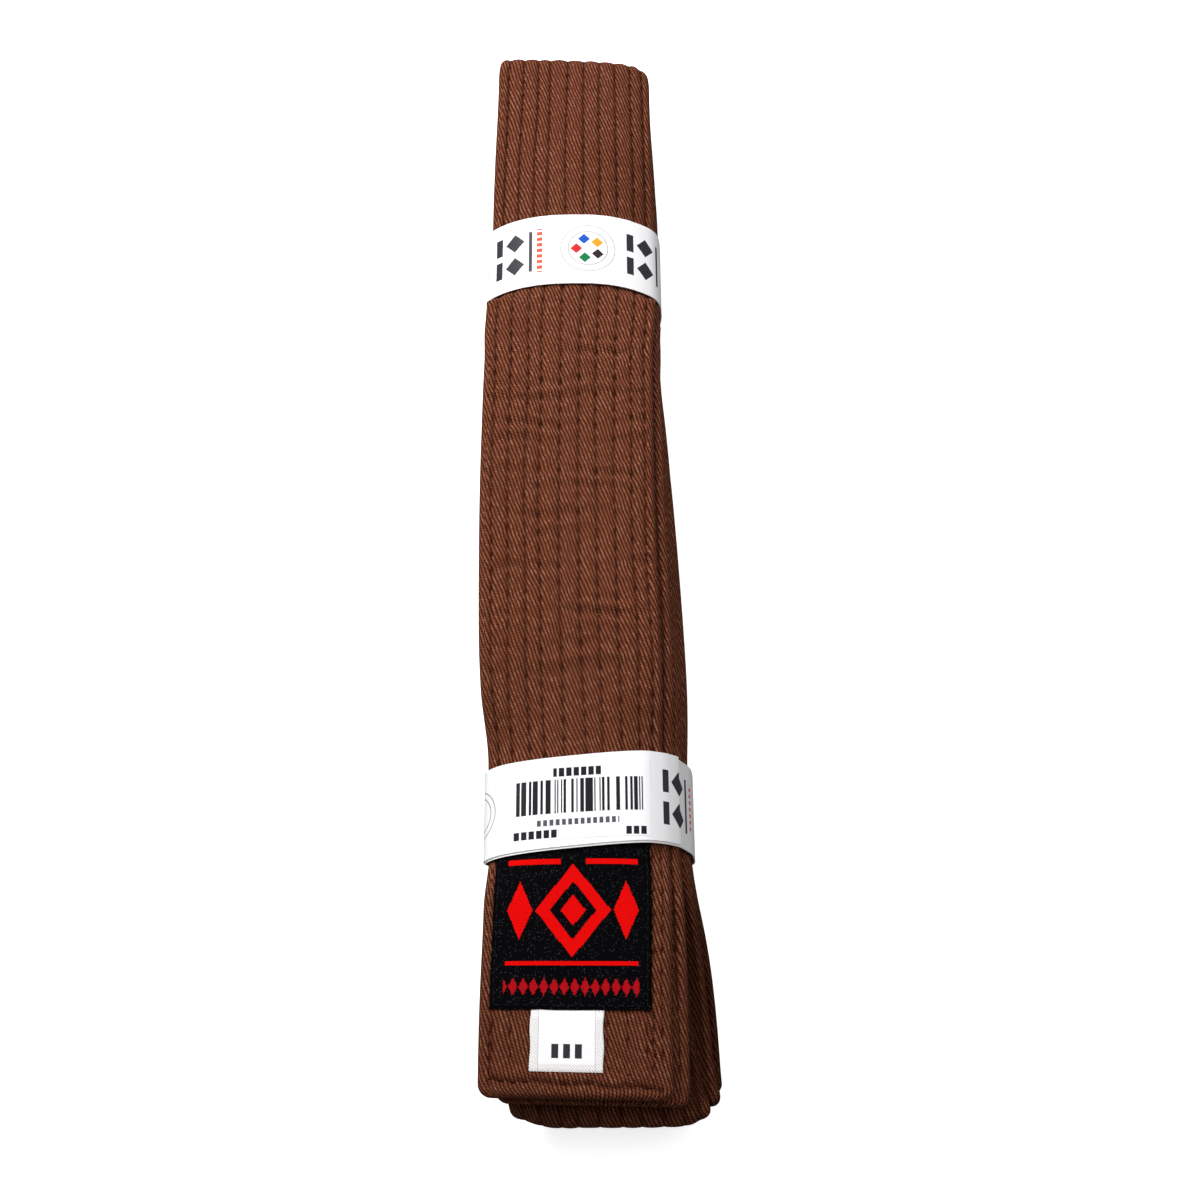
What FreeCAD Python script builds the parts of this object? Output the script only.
import FreeCAD, Part
import Sketcher
import math
import os

"""A folded martial arts belt, held by two paper bands.

The belt is one long strip of stitched cotton, folded into eight layers. The layers are
numbered from the top down. The strip runs from its label end (layer 1) to its tail end
(layer 2) through the layers in the order 1, 4, 5, 8, 7, 6, 3, 2. X runs across the belt,
Y along it from the open end (near) to the main fold (far), and Z up from the table.
"""

LAYERS = 8
ROWS = 10

DIMENSIONS = {
    "bundle_length": 302.4,      # label end to the outside of the far fold
    "belt_width": 45.0,
    "belt_thickness": 3.3,
    "fold_gap": 0.4,             # air between two layers
    "cloth_wall": 0.6,           # outer cloth
    "core_clearance": 0.05,
    "stack_base": 1.0,           # underside of layer 8 above the table
    "near_fold_reach": 4.5,      # big near fold in front of the label end
    "far_fold_inset": 1.0,       # lower far folds behind the main fold
    "loop_inset": 4.2,           # centre of the lowest near loop behind the label end
    "tail_inset": 2.0,           # tail end behind the label end
    "hem_length": 6.0,           # turned-in, solid end of the belt
    "hem_seam_inset": 3.2,
    "fan_angle": 1.7,            # layers 3 to 8 fan out by this, in plan
    "fan_lap": 0.9,              # lap of the fanned layers with the main fold
    "stitch_width": 0.5,
    "stitch_proud": 0.1,
    "row_pitch": 4.4,
    "label_length": 56.0,        # free label end, in front of the near band
    "hinge_gap": 0.5,
    "patch_width": 37.6,
    "patch_thickness": 0.6,
    "patch_lift": 0.15,
    "patch_end_inset": 19.8,     # lower edge of the patch behind the label end
    "patch_hinge_inset": 1.0,
    "patch_shift": 1.2,          # patch centre left of the belt's centre line
    "patch_seam_inset": 1.0,
    "tab_width": 16.9,
    "tab_length": 13.4,
    "tab_thickness": 0.45,
    "tab_lift": 0.4,
    "tab_shift": 1.9,
    "tab_patch_gap": 0.6,
    "near_band_width": 25.4,
    "far_band_width": 23.3,
    "paper_thickness": 0.3,
    "glue_thickness": 0.1,
    "glue_length": 30.0,
    "glue_width": 15.0,
    "side_clearance": 0.5,       # paper band beside the belt
    "near_headroom": 1.2,        # near band above layer 1, clear of the patch and the tab
    "far_headroom": 0.4,
    "near_band_start": 57.5,     # front edge behind the label end
    "far_band_start": 219.5,
    "lap_inset": 2.0,            # loose ends of a paper strip, from the band's corners
    "sticker_width": 36.0,
    "sticker_length": 20.0,
    "sticker_thickness": 0.1,
}

# Expressions that several sub-parts share. "u" is the distance behind the label end.
PITCH = "(Dims.belt_thickness + Dims.fold_gap)"
HALF_PROUD = "(Dims.belt_thickness / 2 + Dims.stitch_proud)"
U_FAR = f"(Dims.bundle_length - 1.5 * {PITCH} - {HALF_PROUD})"
U_FAR_LOWER = f"({U_FAR} - Dims.far_fold_inset)"
U_NEAR = f"(1.5 * {PITCH} + Dims.belt_thickness / 2 - Dims.near_fold_reach)"
U_LOOP = "Dims.loop_inset"
U_TAIL = "(Dims.tail_inset + Dims.hem_length)"
U_HINGE = "Dims.label_length"
TOP = f"(Dims.stack_base + Dims.belt_thickness + 7 * {PITCH})"
FAN_SHIFT = f"({U_FAR} * tan(Dims.fan_angle))"
U_PIVOT = f"({U_FAR} - Dims.fan_lap)"    # the fanned layers turn about this line
FRONT_REACH = (f"(Dims.near_fold_reach + Dims.belt_width / 2 * sin(Dims.fan_angle)"
               f" - ({U_PIVOT} + Dims.near_fold_reach) * (1 - cos(Dims.fan_angle)))")
LEFT = "(-Dims.belt_width / 2)"

YZ_PLANE = FreeCAD.Rotation(0.5, 0.5, 0.5, 0.5)
XZ_PLANE = FreeCAD.Rotation(FreeCAD.Vector(1, 0, 0), 90)


def layer_height(layer):
    """Mid-height of a layer, counted from the top."""
    return f"(Dims.stack_base + Dims.belt_thickness / 2 + {LAYERS - layer} * {PITCH})"


doc = FreeCAD.newDocument("folded_belt")
sheet = doc.addObject("Spreadsheet::Sheet", "Dims")
for row_number, (alias, number) in enumerate(DIMENSIONS.items(), start=1):
    sheet.set(f"A{row_number}", alias)
    sheet.set(f"B{row_number}", str(number))
    sheet.setAlias(f"B{row_number}", alias)
doc.recompute()

subparts = []


def bind(obj, sizes):
    for path, expression in sizes.items():
        obj.setExpression(path, expression)


def seat(obj, x="0", u="0", z="0"):
    """Place a shape drawn in the belt's frame so that the whole bundle is centred."""
    bind(obj, {".Placement.Base.x": f"{x} - {FAN_SHIFT} / 2",
               ".Placement.Base.y": f"{u} - (Dims.bundle_length - {FRONT_REACH}) / 2",
               ".Placement.Base.z": z})


def keep(obj, label):
    obj.Label = label
    subparts.append(obj)
    return obj


def box(name, x, u, z, width, length, height):
    """A block given by its lowest corner in the belt's frame and its three sizes."""
    block = doc.addObject("Part::Box", name)
    bind(block, {"Length": width, "Width": length, "Height": height,
                 ".Placement.Base.x": x, ".Placement.Base.y": u, ".Placement.Base.z": z})
    return block


def seated_box(name, x, u, z, width, length, height):
    block = box(name, x, u, z, width, length, height)
    seat(block, x, u, z)
    return keep(block, name)


def cut(name, base, tool):
    result = doc.addObject("Part::Cut", name)
    result.Base = base
    result.Tool = tool
    return result


def fuse(name, shapes):
    result = doc.addObject("Part::MultiFuse", name)
    result.Shapes = shapes
    return result


# ---------------------------------------------------------------- the belt's folded path

# The main fold's two ends lap over the ends of the fanned layers.
LAP_START = f"({U_FAR} - 2 * Dims.fan_lap)"

# Each path lists its corners as (distance behind the label end, layer), two for each
# straight run; between two runs the strip folds over a half circle. face_up says whether
# the label face is on top where the path starts, fans_out whether it turns with the fan.
PATHS = {
    "upper": {"starts_far": False, "face_up": True, "fans_out": False, "corners": [
        (f"({U_HINGE} + Dims.hinge_gap)", 1), (U_FAR, 1), (U_FAR, 4), (LAP_START, 4)]},
    "lower": {"starts_far": True, "face_up": False, "fans_out": True, "corners": [
        (U_PIVOT, 4), (U_NEAR, 4), (U_NEAR, 5), (U_FAR_LOWER, 5),
        (U_FAR_LOWER, 8), (U_LOOP, 8), (U_LOOP, 7), (U_FAR_LOWER, 7),
        (U_FAR_LOWER, 6), (U_NEAR, 6), (U_NEAR, 3), (U_PIVOT, 3)]},
    "tail": {"starts_far": False, "face_up": True, "fans_out": False, "corners": [
        (LAP_START, 3), (U_FAR, 3), (U_FAR, 2), (U_TAIL, 2)]},
}
ROUGH_NEAR, ROUGH_FAR, ROUGH_PITCH = 20.0, 280.0, 4.0


def fix_point(sketch, geometry, point, rough, u, height):
    """Bind a sketched point to its distance along the belt and its height."""
    for kind, value, expression in (("DistanceX", rough.x, u), ("DistanceY", rough.y, height)):
        if expression is not None:
            number = sketch.addConstraint(Sketcher.Constraint(kind, geometry, point, value))
            sketch.setExpression(f"Constraints[{number}]", expression)


def path_sketch(name, path):
    """Centre line of a stretch of the strip. The runs come first, then the folds."""
    sketch = doc.addObject("Sketcher::SketchObject", f"{name}_path")
    sketch.Placement = FreeCAD.Placement(FreeCAD.Vector(0, 0, 0), YZ_PLANE)
    corners = path["corners"]
    sides = (ROUGH_FAR, ROUGH_NEAR) if path["starts_far"] else (ROUGH_NEAR, ROUGH_FAR)
    rough = [FreeCAD.Vector(sides[place % 4 in (1, 2)], ROUGH_PITCH * (LAYERS - layer + 1), 0)
             for place, (_, layer) in enumerate(corners)]
    for start in range(0, len(corners), 2):
        run = sketch.addGeometry(Part.LineSegment(rough[start], rough[start + 1]))
        for point, corner in ((1, start), (2, start + 1)):
            u, layer = corners[corner]
            fix_point(sketch, run, point, rough[corner], u, layer_height(layer))
    for corner in range(1, len(corners) - 1, 2):
        upper, lower = corner, corner + 1
        if rough[upper].y < rough[lower].y:
            upper, lower = lower, upper
        far = rough[corner].x == ROUGH_FAR
        begin, finish = (lower, upper) if far else (upper, lower)
        start_angle = math.radians(-90 if far else 90)
        centre = (rough[upper] + rough[lower]) / 2
        circle = Part.Circle(centre, FreeCAD.Vector(0, 0, 1), (rough[upper].y - rough[lower].y) / 2)
        fold = sketch.addGeometry(Part.ArcOfCircle(circle, start_angle, start_angle + math.pi))
        for arc_end, meets in ((1, begin), (2, finish)):
            sketch.addConstraint(
                Sketcher.Constraint("Coincident", fold, arc_end, meets // 2, 1 + meets % 2))
        fix_point(sketch, fold, 3, centre, corners[corner][0], None)
    return sketch


def path_edges(path):
    """Edge names in walking order: run, fold, run, fold, ..."""
    runs = len(path["corners"]) // 2
    order = [1]
    for fold in range(1, runs):
        order += [runs + fold, fold + 1]
    return [f"Edge{number}" for number in order]


sketches = {name: path_sketch(name, path) for name, path in PATHS.items()}


def sweep(name, path_name, low, high, left, width):
    """Strip from low to high above the centre line (towards the label face)."""
    path = PATHS[path_name]
    u, layer = path["corners"][0]
    section = doc.addObject("Part::Plane", f"{name}_section")
    section.Placement = FreeCAD.Placement(FreeCAD.Vector(0, 0, 0), XZ_PLANE)
    bottom = f"{low}" if path["face_up"] else f"-({high})"
    bind(section, {"Length": width, "Width": f"{high} - ({low})", ".Placement.Base.x": left,
                   ".Placement.Base.y": u,
                   ".Placement.Base.z": f"{layer_height(layer)} + ({bottom})"})
    strip = doc.addObject("Part::Sweep", name)
    strip.Sections = [section]
    strip.Spine = (sketches[path_name], path_edges(path))
    strip.Solid = True
    if path["fans_out"]:
        strip.Placement = FreeCAD.Placement(FreeCAD.Vector(0, 0, 0),
                                            FreeCAD.Rotation(FreeCAD.Vector(0, 0, 1), 1))
        bind(strip, {".Placement.Rotation.Angle": "Dims.fan_angle",
                     ".Placement.Base.x": f"{U_PIVOT} * sin(Dims.fan_angle)",
                     ".Placement.Base.y": f"{U_PIVOT} * (1 - cos(Dims.fan_angle))"})
    return strip


def folded_strip(name, low, high, left, width):
    """One band of material, through all the layers from the hinge line to the tail."""
    return fuse(name, [sweep(f"{name}_{path_name}", path_name, low, high, left, width)
                       for path_name in PATHS])


# ---------------------------------------------------------------- belt: bundle and label end

HALF = "Dims.belt_thickness / 2"
INNER_HALF = f"({HALF} - Dims.cloth_wall)"
CORE_HALF = f"({INNER_HALF} - Dims.core_clearance)"
CAVITY_LEFT = f"({LEFT} + Dims.cloth_wall)"
CAVITY_WIDTH = "(Dims.belt_width - 2 * Dims.cloth_wall)"
CORE_LEFT = f"({CAVITY_LEFT} + Dims.core_clearance)"
CORE_WIDTH = f"({CAVITY_WIDTH} - 2 * Dims.core_clearance)"
HALF_CLEARANCE = "Dims.core_clearance / 2"
LABEL_Z = f"({TOP} - Dims.belt_thickness)"


def row_left(row):
    return f"(({row} - {(ROWS - 1) / 2}) * Dims.row_pitch - Dims.stitch_width / 2)"


def make_bundle():
    """Eight folded layers behind the hinge line: cloth, two core plies, rows of stitching."""
    skin = folded_strip("cloth_outside", f"-{HALF}", HALF, LEFT, "Dims.belt_width")
    hollow = folded_strip("cloth_inside", f"-{INNER_HALF}", INNER_HALF,
                          CAVITY_LEFT, CAVITY_WIDTH)
    tube = cut("cloth_tube", skin, hollow)
    hem = box("tail_hem", LEFT, "Dims.tail_inset", f"{layer_height(2)} - {HALF}",
              "Dims.belt_width", "Dims.hem_length", "Dims.belt_thickness")
    cover = keep(fuse("belt_cover", [tube, hem]), "belt_cover")
    seat(cover)
    for name, low, high in (("belt_core_face", HALF_CLEARANCE, CORE_HALF),
                            ("belt_core_back", f"-{CORE_HALF}", f"-{HALF_CLEARANCE}")):
        seat(keep(folded_strip(name, low, high, CORE_LEFT, CORE_WIDTH), name))
    for row in range(ROWS):
        name = f"stitch_row_{row + 1:02d}"
        seat(keep(folded_strip(name, f"-{HALF_PROUD}", HALF_PROUD, row_left(row),
                               "Dims.stitch_width"), name))
    hem_seam("tail_hem_stitch", "(Dims.tail_inset + Dims.hem_seam_inset)", 2)


def hem_seam(name, u, layer):
    """Seam across a turned-in end, through the whole thickness."""
    seated_box(name, f"{LEFT} + Dims.patch_seam_inset", u,
               f"{layer_height(layer)} - {HALF_PROUD}",
               "Dims.belt_width - 2 * Dims.patch_seam_inset", "Dims.stitch_width",
               f"2 * {HALF_PROUD}")


def make_label_end():
    """The free end of layer 1, in front of the hinge line, with the sewn-on patch."""
    skin = box("label_outside", LEFT, "0", LABEL_Z, "Dims.belt_width", U_HINGE,
               "Dims.belt_thickness")
    free_length = f"({U_HINGE} - Dims.hem_length)"
    hollow = box("label_inside", CAVITY_LEFT, "Dims.hem_length",
                 f"{LABEL_Z} + Dims.cloth_wall", CAVITY_WIDTH, free_length,
                 f"2 * {INNER_HALF}")
    seat(keep(cut("label_end_cover", skin, hollow), "label_end_cover"))
    middle = layer_height(1)
    for name, low in (("label_end_core_face", HALF_CLEARANCE),
                      ("label_end_core_back", f"-{CORE_HALF}")):
        seated_box(name, CORE_LEFT, "Dims.hem_length + Dims.core_clearance",
                   f"{middle} + ({low})", CORE_WIDTH, f"{free_length} - Dims.core_clearance",
                   f"{CORE_HALF} - {HALF_CLEARANCE}")
    for row in range(ROWS):
        seated_box(f"label_end_row_{row + 1:02d}", row_left(row), "Dims.hem_length",
                   f"{middle} - {HALF_PROUD}", "Dims.stitch_width", free_length,
                   f"2 * {HALF_PROUD}")
    hem_seam("label_hem_stitch", "Dims.hem_seam_inset", 1)
    make_patch()


def make_patch():
    """Woven patch on the label end, and the thread that sews its edge down."""
    left = "(-Dims.patch_shift - Dims.patch_width / 2)"
    low = f"({TOP} + Dims.patch_lift)"
    length = "(Dims.label_length - Dims.patch_hinge_inset - Dims.patch_end_inset)"
    seated_box("patch", left, "Dims.patch_end_inset", low, "Dims.patch_width", length,
               "Dims.patch_thickness")
    rings = []
    for name, inset in (("seam_outer", "Dims.patch_seam_inset"),
                        ("seam_inner", "(Dims.patch_seam_inset + Dims.stitch_width)")):
        rings.append(box(name, f"{left} + {inset}", f"Dims.patch_end_inset + {inset}", low,
                         f"Dims.patch_width - 2 * {inset}", f"{length} - 2 * {inset}",
                         "Dims.patch_thickness + Dims.stitch_proud"))
    seat(keep(cut("patch_stitch", *rings), "patch_stitch"))


def make_size_tab():
    """Woven size tab, hinged along the lower edge of the patch."""
    seated_box("size_tab", "-Dims.tab_shift - Dims.tab_width / 2",
               "Dims.patch_end_inset - Dims.tab_patch_gap - Dims.tab_length",
               f"{TOP} + Dims.tab_lift", "Dims.tab_width", "Dims.tab_length",
               "Dims.tab_thickness")


# ---------------------------------------------------------------- paper bands

def paper_strip(name, width, inner_height, strip_width):
    """Closed loop of paper whose two ends lap over each other on its top side.

    The outline starts at the inner end and runs round inside the loop, then back outside.
    Its corner is the outer lower left one, so that all its lengths are positive.
    """
    paper = "Dims.paper_thickness"
    layers = f"({paper} + Dims.glue_thickness)"
    left, right = paper, f"({paper} + {width})"
    low, high = paper, f"({paper} + {inner_height})"
    lap_left, lap_right = f"({left} + Dims.lap_inset)", f"({right} - Dims.lap_inset)"
    over_low, over_high = f"({high} + {layers})", f"({high} + {layers} + {paper})"
    outer_right = f"({right} + {paper})"
    corners = [
        (lap_right, high), (left, high), (left, low), (right, low),
        (right, over_low), (lap_left, over_low), (lap_left, over_high),
        (outer_right, over_high), (outer_right, "0"), ("0", "0"),
        ("0", f"{high} + {paper}"), (lap_right, f"{high} + {paper}")]
    rough = [(30, 20), (5, 20), (5, 5), (40, 5), (40, 30), (10, 30), (10, 35), (45, 35),
             (45, 1), (1, 1), (1, 25), (30, 25)]
    body = doc.addObject("PartDesign::Body", name)
    sketch = body.newObject("Sketcher::SketchObject", f"{name}_outline")
    plane = next(feature for feature in body.Origin.OriginFeatures
                 if feature.Role == "XZ_Plane")
    sketch.AttachmentSupport = [(plane, "")]
    sketch.MapMode = "FlatFace"
    points = [FreeCAD.Vector(x, z, 0) for x, z in rough]
    for number, point in enumerate(points):
        sketch.addGeometry(Part.LineSegment(point, points[(number + 1) % len(points)]))
    for number, point in enumerate(points):
        following = (number + 1) % len(points)
        sketch.addConstraint(Sketcher.Constraint("Coincident", number, 2, following, 1))
        fix_point(sketch, number, 1, point, *corners[number])
    pad = body.newObject("PartDesign::Pad", f"{name}_strip")
    pad.Profile = sketch
    bind(pad, {"Length": strip_width})
    return keep(body, name)


def make_near_band():
    """Printed paper band near the open end, with its barcode sticker."""
    width = f"(Dims.belt_width + {FAN_SHIFT} + 2 * Dims.side_clearance)"
    inner_height = f"({TOP} + Dims.near_headroom - Dims.paper_thickness)"
    left = f"({LEFT} - Dims.side_clearance - Dims.paper_thickness)"
    middle = f"({left} + Dims.paper_thickness + {width} / 2)"
    inner_top = f"({TOP} + Dims.near_headroom + Dims.paper_thickness)"
    strip = paper_strip("near_band", width, inner_height, "Dims.near_band_width")
    seat(strip, left, "Dims.near_band_start + Dims.near_band_width")
    centre_u = "(Dims.near_band_start + Dims.near_band_width / 2)"
    seated_box("near_band_glue", f"{middle} - Dims.glue_length / 2",
               f"{centre_u} - Dims.glue_width / 2", inner_top, "Dims.glue_length",
               "Dims.glue_width", "Dims.glue_thickness")
    seated_box("near_band_sticker", "-Dims.sticker_width / 2",
               f"{centre_u} - Dims.sticker_length / 2",
               f"{inner_top} + Dims.glue_thickness + Dims.paper_thickness",
               "Dims.sticker_width", "Dims.sticker_length", "Dims.sticker_thickness")


def make_far_band():
    """Printed paper band near the main fold. Its ends lap on the underside."""
    fan = f"(({U_FAR} - Dims.far_band_start) * tan(Dims.fan_angle))"
    width = f"(Dims.belt_width + {fan} + 2 * Dims.side_clearance)"
    lap = "(Dims.paper_thickness + Dims.glue_thickness)"
    inner_height = f"({TOP} + Dims.far_headroom - {lap} - Dims.paper_thickness)"
    right = f"({LEFT} - Dims.side_clearance + {width} + Dims.paper_thickness)"
    middle = f"({LEFT} - Dims.side_clearance + {width} / 2)"
    strip = paper_strip("far_band", width, inner_height, "Dims.far_band_width")
    strip.Placement = FreeCAD.Placement(FreeCAD.Vector(0, 0, 0),
                                        FreeCAD.Rotation(FreeCAD.Vector(0, 1, 0), 180))
    seat(strip, right, "Dims.far_band_start + Dims.far_band_width",
         f"{TOP} + Dims.far_headroom + Dims.paper_thickness")
    centre_u = "(Dims.far_band_start + Dims.far_band_width / 2)"
    seated_box("far_band_glue", f"{middle} - Dims.glue_length / 2",
               f"{centre_u} - Dims.glue_width / 2", "Dims.paper_thickness",
               "Dims.glue_length", "Dims.glue_width", "Dims.glue_thickness")


# ---------------------------------------------------------------- build, check and write

make_bundle()
make_label_end()
make_size_tab()
make_near_band()
make_far_band()
doc.recompute()

for obj in doc.Objects:
    if "Invalid" in obj.State or "Error" in obj.State:
        raise RuntimeError(f"{obj.Label} did not rebuild: {obj.State}")
for subpart in subparts:
    if subpart.Shape.isNull() or not subpart.Shape.isValid():
        raise RuntimeError(f"{subpart.Label} has no valid shape")

strip_length = sum(sketch.Shape.Length for sketch in sketches.values())
label_end = sheet.get("label_length") + sheet.get("hinge_gap")
hems = sheet.get("hem_length")
laps = 2 * sheet.get("fan_lap")
print(f"belt length {strip_length + label_end + hems - laps:.1f} mm")

os.makedirs("parts", exist_ok=True)
for subpart in subparts:
    solids = len(subpart.Shape.Solids)
    bounds = subpart.Shape.BoundBox
    print(f"{subpart.Label}: {solids} solid(s), {subpart.Shape.Volume:.1f} mm3, "
          f"{bounds.XMin:.2f} {bounds.YMin:.2f} {bounds.ZMin:.2f} to "
          f"{bounds.XMax:.2f} {bounds.YMax:.2f} {bounds.ZMax:.2f}")
    subpart.Shape.exportStep(f"parts/{subpart.Label}.step")
